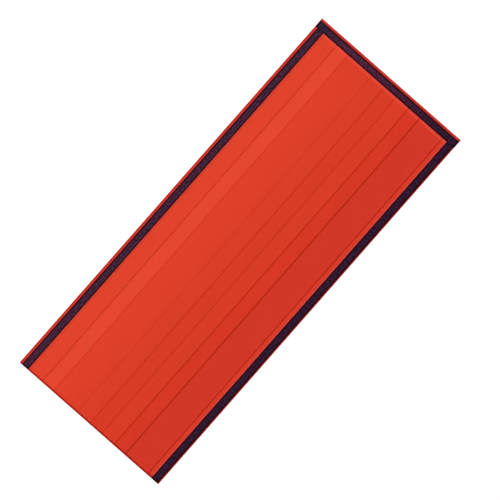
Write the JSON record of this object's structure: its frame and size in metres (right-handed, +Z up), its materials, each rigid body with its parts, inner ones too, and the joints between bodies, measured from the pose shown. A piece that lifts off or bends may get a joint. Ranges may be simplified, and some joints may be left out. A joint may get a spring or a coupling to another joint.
{
  "type": "emergency bivy sack",
  "caption": "Flat film sleeping sack laid out empty: long rectangle closed at the foot and along both sides by dark tapes, open at the mouth, with lengthwise packing folds.",
  "frame": {"origin": "on the ground under the middle of the sack", "axes": "+X across the sack to its right, +Y along the sack from the mouth to the foot, +Z up from the ground"},
  "size_m": [0.8838, 1.9812, 0.0222],
  "materials": {
    "film": "soft satin film, red-orange",
    "seam_tape": "matt woven tape, dark plum"
  },
  "bodies": {
    "root": {"bottom_panel": "film", "top_panel": "film", "left_tape": "seam_tape", "right_tape": "seam_tape", "foot_tape": "seam_tape"}
  },
  "joints": []
}
